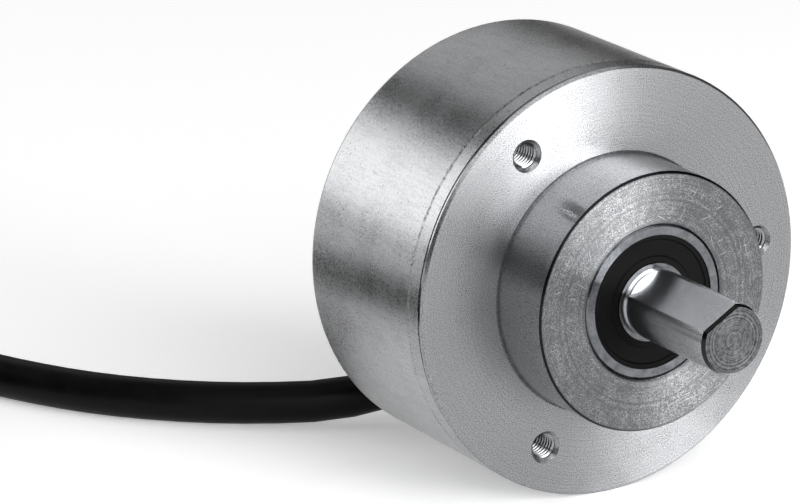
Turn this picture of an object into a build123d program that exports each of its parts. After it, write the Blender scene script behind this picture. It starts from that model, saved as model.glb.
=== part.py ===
"""Incremental rotary encoder, 50 mm class, with an 8 mm shaft and a cable at the rear.

Millimetres. The shaft axis is Y and the shaft points to -Y. The origin is the centre of the
flange's front face, +Z is up, and the encoder lies on its side, so the table is at z = -25.
"Behind" means towards +Y, and every place called a station is a distance behind the flange face.
"""

import os
from math import cos, pi, radians, sin, tan

from build123d import *

# Housing
flange_radius = 25.0
face_chamfer = 0.3
rim_depth = 0.55
seam_width = 0.4
plate_depth = 7.0
collar_radius = 15.0
collar_length = 8.5
collar_relief = 0.15
hub_inset = 12.5
hub_end = 10.6
cover_wall = 1.0
cover_rear = 24.4
cover_corner = 0.8
cover_play = 0.05
lip_taper = 0.12
bead_station = 2.9
bead_depth = 0.2
bead_half_width = 0.25
bead_play = 0.15
seal_groove_start = 3.7
seal_groove_width = 1.5
seal_groove_depth = 1.2
ring_squeeze = 0.03

# Mounting holes
hole_inset = 5.0
hole_count = 3
hole_radius = 1.5
hole_sink_radius = 1.9
hole_depth = 6.0
hole_angle = 4.6

# Bearings
bearing_radius = 9.0
bearing_width = 6.0
bearing_recess = 0.1
bore_chamfer = 0.15
bearing_play = 0.01
bearing_edge = 0.3
bearing_spacing = 4.4
web_bore_radius = 8.2
outer_land_radius = 7.75
outer_shoulder_radius = 7.6
inner_land_radius = 4.5
inner_shoulder_radius = 5.9
land_width = 0.8
ball_radius = 1.5
ball_pitch_radius = 6.75
ball_count = 7
race_play = 0.04
cage_play = 0.1
cage_inner_radius = 6.1
cage_outer_radius = 7.4
cage_width = 4.0
seal_thickness = 0.6
seal_recess = 0.15
seal_dish = 0.15
lip_play = 0.05
seal_edge_play = 0.02

# Preload spring and retaining ring
spring_space = 0.6
spring_thickness = 0.25
spring_inner_radius = 7.9
spring_edge_play = 0.2
spring_play = 0.02
ring_thickness = 1.0
ring_groove_play = 0.1
ring_groove_depth = 0.6
ring_inner_radius = 7.7
ring_edge_play = 0.05
lug_length = 1.5
lug_radius = 1.3
lug_hole_radius = 0.6
lug_angle = 16.0

# Shaft
shaft_radius = 4.0
shaft_reach = 24.0
tip_chamfer = 0.25
tip_chamfer_length = 0.5
relief_depth = 0.2
relief_to_bearing = 0.05
flat_distance = 3.2
flat_step_gap = 0.55
flat_angle = 121.0
shaft_collar_radius = 5.2
stub_radius = 3.0
stub_end = 13.1
centre_hole_radius = 1.5
centre_hole_depth = 5.5

# Disc, its hub and what holds it
hub_bore_play = 0.01
hub_nose_radius = 4.8
hub_nose_gap = 0.05
hub_flange_radius = 8.5
hub_flange_start = 11.0
disc_station = 12.5
disc_thickness = 0.8
disc_inset = 8.0
disc_bore_play = 0.05
boss_radius = 4.0
boss_gap = 0.1
slot_count = 48
slot_rim = 0.8
slot_height = 1.6
slot_width = 0.9
index_inset = 4.0
index_slot_length = 1.2
clamp_radius = 7.0
clamp_thickness = 0.7
screw_head_radius = 2.75
screw_head_height = 1.8
screw_radius = 1.5
screw_length = 5.0
thread_play = 0.02
socket_across = 2.5
socket_depth = 1.2

# Optics
holder_width = 8.0
holder_height = 6.4
emitter_radius = 1.5
emitter_play = 0.05
emitter_dome = 0.6
emitter_gap = 0.3
lead_radius = 0.25
lead_spacing = 2.54
lead_past_disc = 1.4
lead_play = 0.05
mask_gap = 0.3
mask_thickness = 0.8
mask_width = 5.0
mask_height = 4.4
chip_width = 6.0
chip_height = 5.0

# Circuit board
board_station = 16.8
board_thickness = 1.6
board_inset = 2.5
board_hole_radius = 4.0
pillar_inset = 4.5
pillar_across = 3.6
pillar_angle = 40.0
pillar_count = 3
small_screw_radius = 1.0
small_head_radius = 1.8
small_head_height = 1.2
small_screw_length = 4.5
small_screw_play = 0.1
header_width = 6.4
header_height = 3.6
header_depth = 2.2
wire_radius = 0.45
wire_pitch = 1.15

# Angled cable outlet on the rear wall
mouth_side = 4.5
mouth_behind_cover = 5.0
mouth_above_table = 8.6
bend_side = 14.8
bend_behind_mouth = 3.7
bend_above_rest = 0.75
outlet_length = 13.4
outlet_width = 9.2
outlet_corner = 2.0
outlet_plate = 2.2
outlet_set_back = 6.5
gasket_thickness = 0.5
hood_radius = 4.2
hood_length = 5.0
chamber_height = 3.6
wire_hole_radius = 2.6
wire_hole_place = -1.2
outlet_screw_place = 4.6
outlet_screw_spread = 4.8
outlet_screw_proud = 0.4

# Cable, its boot and its route on the table
cable_radius = 2.5
cable_play = 0.05
jacket_inside = 3.8
boot_length = 11.0
boot_radius = 3.8
boot_tip_radius = 3.1
boot_rib_depth = 0.4
boot_rib_count = 4
boot_plug_radius = 3.2
boot_plug_length = 1.5
run_share = 0.45
table_height = -flange_radius
on_table = table_height + cable_radius
mouth = Vector(mouth_side, cover_rear + mouth_behind_cover, table_height + mouth_above_table)
first_bend = Vector(mouth.X - bend_side, mouth.Y + bend_behind_mouth, on_table + bend_above_rest)
lead_points = [
    mouth,
    first_bend,
    Vector(-24.5, 41.4, on_table),
    Vector(-36.1, 51.7, on_table),
    Vector(-43.6, 63.8, on_table),
    Vector(-48.7, 77.1, on_table),
    Vector(-53.7, 88.0, on_table),
]

# Put-away coil: three turns below, two and a bit above
coil_radius = 33.5
coil_outer_margin = 2.5
coil_band = 20.0
coil_height = 10.0
coil_edge = 2.3
coil_leave_angle = 195.0
coil_leave_radius = 31.5

# Plug
plug_tail_length = 12.0
plug_tail_radius = 3.4
plug_neck_radius = 4.6
plug_rib_count = 4
plug_rib_width = 0.9
plug_rib_depth = 0.5
plug_grip_length = 18.0
plug_grip_radius = 6.0
plug_grip_end_radius = 5.4
plug_stem_radius = 4.3
plug_stem_length = 4.0
screw_ring_radius = 7.5
screw_ring_length = 8.5
screw_ring_bevel = 0.5
screw_wall_radius = 5.95
screw_thread_length = 5.5
screw_play = 0.15
knurl_count = 20
knurl_radius = 0.45
insert_radius = 4.3
insert_bore_radius = 3.7
insert_floor = 3.0
pin_radius = 0.4
pin_circle_radius = 2.75
pin_outer_count = 7
pin_reach = 7.0
plug_seal_height = 1.0
plug_gap_to_coil = 24.0

# Derived places and sizes
hole_circle = 2 * (flange_radius - hole_inset)
hub_radius = flange_radius - hub_inset
disc_radius = flange_radius - disc_inset
slot_outer_radius = disc_radius - slot_rim
slot_inner_radius = slot_outer_radius - slot_height
track_radius = (slot_inner_radius + slot_outer_radius) / 2
index_radius = disc_radius - index_inset
lead_radius_place = disc_radius + lead_past_disc
board_radius = flange_radius - board_inset
pillar_radius_place = flange_radius - pillar_inset
seat_radius = flange_radius - cover_wall - cover_play
cover_bore_radius = flange_radius - cover_wall
cover_front = rim_depth + seam_width
holder_depth = disc_station - emitter_gap - emitter_dome - plate_depth
inner_rear = cover_rear - cover_wall
front_bearing = -collar_length + bearing_recess
web_front = front_bearing + bearing_width
rear_bearing = web_front + bearing_spacing
rear_bearing_end = rear_bearing + bearing_width
ring_station = rear_bearing_end + spring_space
ring_groove_radius = bearing_radius + ring_groove_depth
spring_outer_radius = bearing_radius - spring_edge_play
disc_rear = disc_station + disc_thickness
clamp_rear = disc_rear + clamp_thickness
board_rear = board_station + board_thickness
cable_way = (first_bend - mouth).normalized()
outlet_turn = Vector(-cable_way.X, 0, -cable_way.Z).normalized()
outlet_centre = mouth + outlet_turn * outlet_set_back
outlet_seat = cover_rear + gasket_thickness
outlet_top = outlet_seat + outlet_plate


def station(distance):
    """The plane across the shaft axis, this far behind the flange face. It faces the front."""
    return Plane.XZ.offset(-distance)


def outlet_station(distance):
    """The same, with its centre in the cable outlet's plate and its x along the plate."""
    centre = (outlet_centre.X, distance, outlet_centre.Z)
    return Plane(origin=centre, x_dir=outlet_turn, z_dir=(0, -1, 0))


def section(*corners):
    """The area inside corners, each one a radius and a distance along the axis of turning."""
    with BuildSketch(Plane.XY) as area:
        with BuildLine():
            Polyline(*corners, close=True)
        make_face()
    return area.sketch


def axis_plane(start, way):
    """A plane through the axis from start along way: x is the radius and y goes along it."""
    level = Vector(1, 0, 0) if abs(way.Z) > 0.9 else Vector(0, 0, 1)
    radial = level - way * level.dot(way)
    return Plane(origin=start, x_dir=radial, z_dir=radial.cross(way))


def finish(piece, name):
    """Label a finished piece and write it."""
    piece.part.label = name
    export_step(piece.part, f"parts/{name}.step")


os.makedirs("parts", exist_ok=True)

# Flange: collar, mounting face, seat for the cover and seats for both bearings
bead_half = bead_half_width + bead_play / 3
groove_end = seal_groove_start + seal_groove_width
with BuildPart() as flange:
    revolve(
        section(
            (bearing_radius + bore_chamfer, -collar_length),
            (collar_radius - face_chamfer, -collar_length),
            (collar_radius, face_chamfer - collar_length),
            (collar_radius, collar_relief),
            (collar_radius + 2 * collar_relief, 0),
            (flange_radius - face_chamfer, 0),
            (flange_radius, face_chamfer),
            (flange_radius, rim_depth),
            (seat_radius, rim_depth),
            (seat_radius, bead_station - bead_half),
            (seat_radius - bead_depth - bead_play, bead_station),
            (seat_radius, bead_station + bead_half),
            (seat_radius, seal_groove_start),
            (seat_radius - seal_groove_depth, seal_groove_start),
            (seat_radius - seal_groove_depth, groove_end),
            (seat_radius, groove_end),
            (seat_radius, plate_depth),
            (hub_radius, plate_depth),
            (hub_radius, hub_end),
            (bearing_radius, hub_end),
            (bearing_radius, ring_station + ring_thickness + ring_groove_play),
            (ring_groove_radius, ring_station + ring_thickness + ring_groove_play),
            (ring_groove_radius, ring_station),
            (bearing_radius, ring_station),
            (bearing_radius, rear_bearing),
            (web_bore_radius, rear_bearing),
            (web_bore_radius, web_front),
            (bearing_radius, web_front),
            (bearing_radius, bore_chamfer - collar_length),
        ),
        axis=Axis.Y,
    )
    with Locations(station(0)):
        with PolarLocations(hole_circle / 2, hole_count, start_angle=hole_angle):
            CounterSinkHole(
                hole_radius, hole_sink_radius, depth=hole_depth, counter_sink_angle=90
            )
    with BuildSketch(station(plate_depth)):
        with PolarLocations(pillar_radius_place, pillar_count, start_angle=pillar_angle):
            Circle(small_screw_radius + thread_play)
    extrude(amount=small_screw_length, mode=Mode.SUBTRACT)
finish(flange, "flange")

# Cover: drawn cup with a rolled bead that grips the flange's seat, and a hole for the wires
bead_lip = bead_half_width
with BuildPart() as cover:
    revolve(
        section(
            (flange_radius - lip_taper, cover_front),
            (flange_radius, bead_station - bead_lip),
            (flange_radius - bead_depth / 2, bead_station),
            (flange_radius, bead_station + bead_lip),
            (flange_radius, cover_rear),
            (0, cover_rear),
            (0, inner_rear),
            (cover_bore_radius, inner_rear),
            (cover_bore_radius, bead_station + bead_lip),
            (cover_bore_radius - bead_depth, bead_station),
            (cover_bore_radius, bead_station - bead_lip),
            (cover_bore_radius, cover_front),
        ),
        axis=Axis.Y,
    )
    rear_edges = cover.edges().filter_by(GeomType.CIRCLE).group_by(Axis.Y)[-1]
    fillet(rear_edges, cover_corner)
    with BuildSketch(outlet_station(inner_rear)):
        with Locations((wire_hole_place, 0)):
            Circle(wire_hole_radius)
        with Locations((outlet_screw_place, 0)):
            with GridLocations(0, outlet_screw_spread, 1, 2):
                Circle(small_screw_radius + thread_play)
    extrude(amount=-cover_wall, mode=Mode.SUBTRACT)
finish(cover, "cover")

# O-ring between cover and flange, squeezed flat by both
ring_low = seat_radius - seal_groove_depth + ring_squeeze
ring_high = cover_bore_radius - ring_squeeze
ring_mid = seal_groove_start + seal_groove_width / 2
ring_half = (ring_high - ring_low) / 2
with BuildPart() as cover_o_ring:
    revolve(
        section(
            (ring_low, ring_mid - ring_half / 2),
            (ring_low + ring_half / 2, ring_mid - ring_half),
            (ring_high - ring_half / 2, ring_mid - ring_half),
            (ring_high, ring_mid - ring_half / 2),
            (ring_high, ring_mid + ring_half / 2),
            (ring_high - ring_half / 2, ring_mid + ring_half),
            (ring_low + ring_half / 2, ring_mid + ring_half),
            (ring_low, ring_mid + ring_half / 2),
        ),
        axis=Axis.Y,
    )
finish(cover_o_ring, "cover_o_ring")

# Two deep-groove ball bearings, each with rings, balls, a moulded cage and two rubber seals
for place, front in (("front", front_bearing), ("rear", rear_bearing)):
    back = front + bearing_width
    middle = front + bearing_width / 2
    outer = bearing_radius - bearing_play
    bore = shaft_radius + bearing_play

    with BuildPart() as outer_ring:
        revolve(
            section(
                (outer_land_radius, front),
                (outer - bearing_edge, front),
                (outer, front + bearing_edge),
                (outer, back - bearing_edge),
                (outer - bearing_edge, back),
                (outer_land_radius, back),
                (outer_land_radius, back - land_width),
                (outer_shoulder_radius, back - land_width),
                (outer_shoulder_radius, front + land_width),
                (outer_land_radius, front + land_width),
            ),
            axis=Axis.Y,
        )
        with Locations((0, middle, 0)):
            Torus(
                ball_pitch_radius,
                ball_radius + race_play,
                rotation=(90, 0, 0),
                mode=Mode.SUBTRACT,
            )
    finish(outer_ring, f"{place}_bearing_outer_ring")

    with BuildPart() as inner_ring:
        revolve(
            section(
                (bore, front),
                (inner_land_radius, front),
                (inner_land_radius, front + land_width),
                (inner_shoulder_radius, front + land_width),
                (inner_shoulder_radius, back - land_width),
                (inner_land_radius, back - land_width),
                (inner_land_radius, back),
                (bore, back),
            ),
            axis=Axis.Y,
        )
        with Locations((0, middle, 0)):
            Torus(
                ball_pitch_radius,
                ball_radius + race_play,
                rotation=(90, 0, 0),
                mode=Mode.SUBTRACT,
            )
    finish(inner_ring, f"{place}_bearing_inner_ring")

    with BuildPart() as balls:
        with Locations(station(middle)):
            with PolarLocations(ball_pitch_radius, ball_count):
                Sphere(ball_radius)
    finish(balls, f"{place}_bearing_balls")

    with BuildPart() as cage:
        with BuildSketch(station(middle)):
            Circle(cage_outer_radius)
            Circle(cage_inner_radius, mode=Mode.SUBTRACT)
        extrude(amount=cage_width / 2, both=True)
        with Locations(station(middle)):
            with PolarLocations(ball_pitch_radius, ball_count):
                Sphere(ball_radius + cage_play, rotation=(0, 90, 0), mode=Mode.SUBTRACT)
    finish(cage, f"{place}_bearing_cage")

    # Each seal is dished between its rim and its lip
    lip = inner_land_radius + lip_play
    rim = outer_land_radius - seal_edge_play
    dish_start = lip + (rim - lip) * 0.2
    dish_end = rim - (rim - lip) * 0.15
    with BuildPart() as seals:
        for outside, way in ((front, 1), (back, -1)):
            face = outside + way * seal_recess
            inside = face + way * seal_thickness
            dish = face + way * seal_dish
            revolve(
                section(
                    (lip, face),
                    (dish_start, face),
                    (dish_start + seal_dish, dish),
                    (dish_end - seal_dish, dish),
                    (dish_end, face),
                    (rim, face),
                    (rim, inside),
                    (lip, inside),
                ),
                axis=Axis.Y,
            )
    finish(seals, f"{place}_bearing_seals")

# Preload spring: a dished washer between the rear bearing and the retaining ring
spring_start = rear_bearing_end + spring_play
spring_end = ring_station - spring_play
with BuildPart() as preload_spring:
    revolve(
        section(
            (spring_outer_radius, spring_start),
            (spring_outer_radius, spring_start + spring_thickness),
            (spring_inner_radius, spring_end),
            (spring_inner_radius, spring_end - spring_thickness),
        ),
        axis=Axis.Y,
    )
finish(preload_spring, "preload_spring")

# Retaining ring, sprung into the flange's groove, open at the top between its two lugs
lug_place = ring_inner_radius - lug_length / 2
with BuildPart() as bearing_retaining_ring:
    with BuildSketch(station(ring_station + ring_groove_play / 2)):
        Circle(ring_groove_radius - ring_edge_play)
        Circle(ring_inner_radius, mode=Mode.SUBTRACT)
        with PolarLocations(lug_place, 2, 90 - lug_angle, 2 * lug_angle, endpoint=True):
            SlotOverall(lug_length + 2 * lug_radius, 2 * lug_radius)
        with Locations((0, flange_radius / 2)):
            Rectangle(2 * lug_place * sin(radians(lug_angle)) - lug_radius, flange_radius,
                      mode=Mode.SUBTRACT)
        with PolarLocations(lug_place, 2, 90 - lug_angle, 2 * lug_angle, endpoint=True):
            Circle(lug_hole_radius, mode=Mode.SUBTRACT)
    extrude(amount=-ring_thickness)
finish(bearing_retaining_ring, "bearing_retaining_ring")

# Shaft: free end with a D flat, bearing seats either side of a collar, threaded stub for the disc
flat_normal = Vector(cos(radians(flat_angle)), 0, sin(radians(flat_angle)))
flat_start = -collar_length - flat_step_gap
flat_length = shaft_reach + flat_start
with BuildPart() as shaft:
    revolve(
        section(
            (0, -shaft_reach),
            (shaft_radius, -shaft_reach),
            (shaft_radius, flat_start),
            (shaft_radius - relief_depth, flat_start),
            (shaft_radius - relief_depth, front_bearing - relief_to_bearing),
            (shaft_radius, front_bearing - relief_to_bearing),
            (shaft_radius, web_front),
            (shaft_collar_radius, web_front),
            (shaft_collar_radius, rear_bearing),
            (shaft_radius, rear_bearing),
            (shaft_radius, rear_bearing_end),
            (stub_radius, rear_bearing_end),
            (stub_radius, stub_end),
            (0, stub_end),
        ),
        axis=Axis.Y,
    )
    flat_centre = flat_normal * flat_distance + Vector(0, flat_start - flat_length / 2, 0)
    with BuildSketch(Plane(origin=flat_centre, x_dir=(0, 1, 0), z_dir=flat_normal)):
        Rectangle(flat_length, 2 * shaft_radius)
    extrude(amount=shaft_radius, mode=Mode.SUBTRACT)
    tip = shaft.faces().sort_by(Axis.Y)[0]
    chamfer(tip.edges(), length=tip_chamfer, length2=tip_chamfer_length, reference=tip)
    with BuildSketch(station(stub_end)):
        Circle(centre_hole_radius + thread_play)
    extrude(amount=centre_hole_depth, mode=Mode.SUBTRACT)
finish(shaft, "shaft")

# Disc hub, pressed on the shaft's stub against the rear bearing's inner ring
hub_bore = stub_radius + hub_bore_play
boss_end = disc_rear - boss_gap
with BuildPart() as disc_hub:
    revolve(
        section(
            (hub_bore, rear_bearing_end),
            (inner_land_radius, rear_bearing_end),
            (inner_land_radius, rear_bearing_end + 4 * hub_nose_gap),
            (hub_nose_radius, rear_bearing_end + 4 * hub_nose_gap),
            (hub_nose_radius, hub_flange_start),
            (hub_flange_radius, hub_flange_start),
            (hub_flange_radius, disc_station),
            (boss_radius, disc_station),
            (boss_radius, boss_end),
            (hub_bore, boss_end),
        ),
        axis=Axis.Y,
    )
finish(disc_hub, "disc_hub")

# Code disc: a track of slots for counting, and one index slot on a smaller circle
with BuildPart() as code_disc:
    with BuildSketch(station(disc_station)):
        Circle(disc_radius)
        Circle(boss_radius + disc_bore_play, mode=Mode.SUBTRACT)
        slot_middle = (slot_inner_radius + slot_outer_radius) / 2
        with PolarLocations(slot_middle, slot_count):
            Rectangle(slot_outer_radius - slot_inner_radius, slot_width, mode=Mode.SUBTRACT)
        with PolarLocations(index_radius, 1, start_angle=90):
            Rectangle(index_slot_length, slot_width, mode=Mode.SUBTRACT)
    extrude(amount=-disc_thickness)
finish(code_disc, "code_disc")

# Clamp ring that the hub screw presses on the disc
with BuildPart() as disc_clamp_ring:
    with BuildSketch(station(disc_rear)):
        Circle(clamp_radius)
        Circle(screw_radius + small_screw_play, mode=Mode.SUBTRACT)
    extrude(amount=-clamp_thickness)
finish(disc_clamp_ring, "disc_clamp_ring")

# Hub screw with a hexagon socket
with BuildPart() as hub_screw:
    with BuildSketch(station(clamp_rear)):
        Circle(screw_head_radius)
    extrude(amount=-screw_head_height)
    with BuildSketch(station(clamp_rear)):
        Circle(screw_radius)
    extrude(amount=screw_length)
    with BuildSketch(station(clamp_rear + screw_head_height)):
        RegularPolygon(socket_across / 2, 6, major_radius=False)
    extrude(amount=socket_depth, mode=Mode.SUBTRACT)
finish(hub_screw, "hub_screw")

# LED holder on the rear of the flange's plate, with a bore that aims the light at the track
holder_centre = (0, hub_radius + holder_height / 2 + face_chamfer)
with BuildPart() as led_holder:
    with BuildSketch(station(plate_depth)):
        with Locations(holder_centre):
            Rectangle(holder_width, holder_height)
        with Locations((0, track_radius)):
            Circle(emitter_radius + emitter_play, mode=Mode.SUBTRACT)
        with Locations((0, lead_radius_place)):
            with GridLocations(lead_spacing, 0, 2, 1):
                Circle(lead_radius + lead_play, mode=Mode.SUBTRACT)
    extrude(amount=-holder_depth)
finish(led_holder, "led_holder")

# LED: a cylinder with a domed lens, standing in the holder
with BuildPart() as led_emitter:
    revolve(
        section(
            (0, plate_depth),
            (emitter_radius, plate_depth),
            (emitter_radius, plate_depth + holder_depth),
            (emitter_radius * 0.7, plate_depth + holder_depth + emitter_dome * 0.7),
            (0, plate_depth + holder_depth + emitter_dome),
        ).moved(Location((0, 0, track_radius))),
        axis=Axis((0, 0, track_radius), (0, 1, 0)),
    )
finish(led_emitter, "led_emitter")

# Leads from the LED to the board, outside the disc
with BuildPart() as led_leads:
    with BuildSketch(station(plate_depth)):
        with Locations((0, lead_radius_place)):
            with GridLocations(lead_spacing, 0, 2, 1):
                Circle(lead_radius)
    extrude(amount=-(board_station - plate_depth))
finish(led_leads, "led_leads")

# Scanning mask, a slotted glass plate just behind the disc
mask_front = disc_rear + mask_gap
with BuildPart() as scanning_mask:
    with BuildSketch(station(mask_front)):
        with Locations((0, track_radius)):
            Rectangle(mask_width, mask_height)
            with GridLocations(2 * slot_width, 0, 3, 1):
                Rectangle(slot_width, slot_outer_radius - slot_inner_radius, mode=Mode.SUBTRACT)
    extrude(amount=-mask_thickness)
finish(scanning_mask, "scanning_mask")

# Sensor chip between the mask and the board
chip_front = mask_front + mask_thickness
with BuildPart() as sensor_chip:
    with BuildSketch(station(chip_front)):
        with Locations((0, track_radius)):
            Rectangle(chip_width, chip_height)
    extrude(amount=-(board_station - chip_front))
finish(sensor_chip, "sensor_chip")

# Hexagonal pillars that hold the board, threaded at both ends
with BuildPart() as board_pillars:
    with BuildSketch(station(plate_depth)):
        with PolarLocations(pillar_radius_place, pillar_count, start_angle=pillar_angle):
            RegularPolygon(pillar_across / 2, 6, major_radius=False)
    extrude(amount=-(board_station - plate_depth))
    with BuildSketch(station(board_station)):
        with PolarLocations(pillar_radius_place, pillar_count, start_angle=pillar_angle):
            Circle(small_screw_radius + thread_play)
    extrude(amount=small_screw_length, mode=Mode.SUBTRACT)
    with BuildSketch(station(plate_depth)):
        with PolarLocations(pillar_radius_place, pillar_count, start_angle=pillar_angle):
            Circle(small_screw_radius)
    extrude(amount=small_screw_length - small_screw_play)
finish(board_pillars, "board_pillars")

# Circuit board with holes for its screws and room for the hub screw's key
with BuildPart() as circuit_board:
    with BuildSketch(station(board_station)):
        Circle(board_radius)
        Circle(board_hole_radius, mode=Mode.SUBTRACT)
        with PolarLocations(pillar_radius_place, pillar_count, start_angle=pillar_angle):
            Circle(small_screw_radius + small_screw_play, mode=Mode.SUBTRACT)
    extrude(amount=-board_thickness)
finish(circuit_board, "circuit_board")

# Board screws: flat cylinder heads on the board's rear
with BuildPart() as board_screws:
    with BuildSketch(station(board_rear)):
        with PolarLocations(pillar_radius_place, pillar_count, start_angle=pillar_angle):
            Circle(small_head_radius)
    extrude(amount=-small_head_height)
    with BuildSketch(station(board_rear)):
        with PolarLocations(pillar_radius_place, pillar_count, start_angle=pillar_angle):
            Circle(small_screw_radius)
    extrude(amount=board_thickness + small_screw_length - small_screw_play)
finish(board_screws, "board_screws")

# Chips on the rear of the board: counter, line driver and voltage regulator
board_chip_places = ((-9.0, 6.0, 7.0, 7.0, 1.0), (-8.0, -9.0, 6.2, 5.0, 1.5), (9.0, 7.0, 6.5, 3.5, 1.6))
with BuildPart() as board_chips:
    for across, up, width, height, depth in board_chip_places:
        with BuildSketch(station(board_rear)):
            with Locations((across, up)):
                Rectangle(width, height)
        extrude(amount=-depth)
finish(board_chips, "board_chips")

# Wire header on the board, in line with the hole in the cover
with BuildPart() as wire_header:
    with BuildSketch(outlet_station(board_rear)):
        with Locations((wire_hole_place, 0)):
            Rectangle(header_width, header_height)
    extrude(amount=-header_depth)
finish(wire_header, "wire_header")

# Eight wires from the header through the cover's hole into the outlet
wire_start = board_rear + header_depth
with BuildPart() as inner_wires:
    with BuildSketch(outlet_station(wire_start)):
        with Locations((wire_hole_place, 0)):
            with GridLocations(wire_pitch, wire_pitch, 4, 2):
                Circle(wire_radius)
    extrude(amount=-(outlet_seat - wire_start))
finish(inner_wires, "inner_wires")

# Gasket under the cable outlet
with BuildPart() as outlet_gasket:
    with BuildSketch(outlet_station(cover_rear)):
        RectangleRounded(outlet_length, outlet_width, outlet_corner)
        with Locations((wire_hole_place, 0)):
            Circle(wire_hole_radius, mode=Mode.SUBTRACT)
        with Locations((outlet_screw_place, 0)):
            with GridLocations(0, outlet_screw_spread, 1, 2):
                Circle(small_screw_radius + small_screw_play, mode=Mode.SUBTRACT)
    extrude(amount=-gasket_thickness)
finish(outlet_gasket, "outlet_gasket")

# Cable outlet: a plate and a hood that turns the cable along the rear wall
mouth_plane = Plane(origin=mouth, x_dir=(0, 1, 0), z_dir=cable_way)
cable_bore = cable_radius + cable_play
with BuildPart() as cable_outlet:
    with BuildSketch(mouth_plane):
        Circle(hood_radius)
    extrude(amount=-hood_length)
    with Locations(mouth - cable_way * hood_length):
        Sphere(hood_radius)
    with BuildSketch(outlet_station(outlet_seat)):
        with Locations((-hood_radius / 2, 0)):
            Rectangle(outlet_set_back + hood_radius / 2, 2 * hood_radius)
    extrude(amount=-(mouth.Y - outlet_seat))
    split(bisect_by=mouth_plane, keep=Keep.BOTTOM)
    split(bisect_by=station(outlet_seat), keep=Keep.BOTTOM)
    with BuildSketch(outlet_station(outlet_seat)):
        RectangleRounded(outlet_length, outlet_width, outlet_corner)
    extrude(amount=-outlet_plate)
    with BuildSketch(mouth_plane):
        Circle(cable_bore)
    extrude(amount=-hood_length, mode=Mode.SUBTRACT)
    with BuildSketch(mouth_plane):
        Circle(boot_plug_radius + cable_play)
    extrude(amount=-boot_plug_length, mode=Mode.SUBTRACT)
    with BuildSketch(outlet_station(outlet_seat)):
        with Locations((wire_hole_place, 0)):
            Circle(wire_hole_radius)
    extrude(amount=-chamber_height, mode=Mode.SUBTRACT)
    with BuildSketch(outlet_station(outlet_seat)):
        with Locations((outlet_screw_place, 0)):
            with GridLocations(0, outlet_screw_spread, 1, 2):
                Circle(small_screw_radius + small_screw_play)
    extrude(amount=-outlet_plate, mode=Mode.SUBTRACT)
finish(cable_outlet, "cable_outlet")

# Outlet screws
with BuildPart() as outlet_screws:
    with BuildSketch(outlet_station(outlet_top)):
        with Locations((outlet_screw_place, 0)):
            with GridLocations(0, outlet_screw_spread, 1, 2):
                Circle(small_head_radius)
    extrude(amount=-small_head_height)
    with BuildSketch(outlet_station(outlet_top)):
        with Locations((outlet_screw_place, 0)):
            with GridLocations(0, outlet_screw_spread, 1, 2):
                Circle(small_screw_radius)
    extrude(amount=outlet_top - inner_rear + outlet_screw_proud)
finish(outlet_screws, "outlet_screws")

# Boot: a tapered rubber sleeve with grooves, plugged into the outlet's mouth
boot_pitch = boot_length / (boot_rib_count + 1)
boot_slope = (boot_radius - boot_tip_radius) / boot_length
boot_corners = [(cable_bore, -boot_plug_length), (boot_plug_radius, -boot_plug_length),
                (boot_plug_radius, 0), (boot_radius, 0)]
for rib in range(1, boot_rib_count + 1):
    groove_start = rib * boot_pitch
    groove_stop = groove_start + boot_pitch / 2
    boot_corners += [
        (boot_radius - boot_slope * groove_start, groove_start),
        (boot_radius - boot_slope * groove_start - boot_rib_depth, groove_start),
        (boot_radius - boot_slope * groove_stop - boot_rib_depth, groove_stop),
        (boot_radius - boot_slope * groove_stop, groove_stop),
    ]
boot_corners += [(boot_tip_radius, boot_length), (cable_bore, boot_length)]
with BuildPart() as cable_boot:
    with BuildSketch(axis_plane(mouth, cable_way)):
        with BuildLine():
            Polyline(*boot_corners, close=True)
        make_face()
    revolve(axis=Axis(mouth, cable_way))
finish(cable_boot, "cable_boot")

# End of the cable's jacket inside the outlet
with BuildPart() as cable_jacket_end:
    with BuildSketch(mouth_plane):
        Circle(cable_radius)
    extrude(amount=-jacket_inside)
finish(cable_jacket_end, "cable_jacket_end")


def corner_radii(points):
    """The arc at each inner point of a route, as large as its two runs allow."""
    radii = []
    for before, here, after in zip(points, points[1:], points[2:]):
        turn = (here - before).get_angle(after - here)
        shorter = min((here - before).length, (after - here).length)
        radii.append(run_share * shorter / tan(radians(turn / 2)))
    return radii


# Cable on the table, from the outlet's mouth to the coil
lead_radii = corner_radii(lead_points)
with BuildPart() as cable_lead:
    with BuildLine() as lead_line:
        FilletPolyline(*lead_points, radius=lead_radii)
    with BuildSketch(Plane(origin=lead_line.line @ 0, z_dir=lead_line.line % 0)):
        Circle(cable_radius)
    sweep()
finish(cable_lead, "cable_lead")

# Coil: the outer shape of the put-away turns
coil_way = (lead_points[-1] - lead_points[-2]).normalized()
coil_centre = lead_points[-1] + Vector(-coil_way.Y, coil_way.X, 0) * coil_radius
coil_foot = Vector(coil_centre.X, coil_centre.Y, table_height)
band_middle = coil_radius + coil_outer_margin - coil_band / 2
with BuildPart() as cable_coil:
    with BuildSketch(axis_plane(coil_foot, Vector(0, 0, 1))):
        with Locations((band_middle, coil_height / 2)):
            band = Rectangle(coil_band, coil_height)
        chamfer(band.vertices(), coil_edge)
    revolve(axis=Axis(coil_foot, (0, 0, 1)))
finish(cable_coil, "cable_coil")

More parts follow.
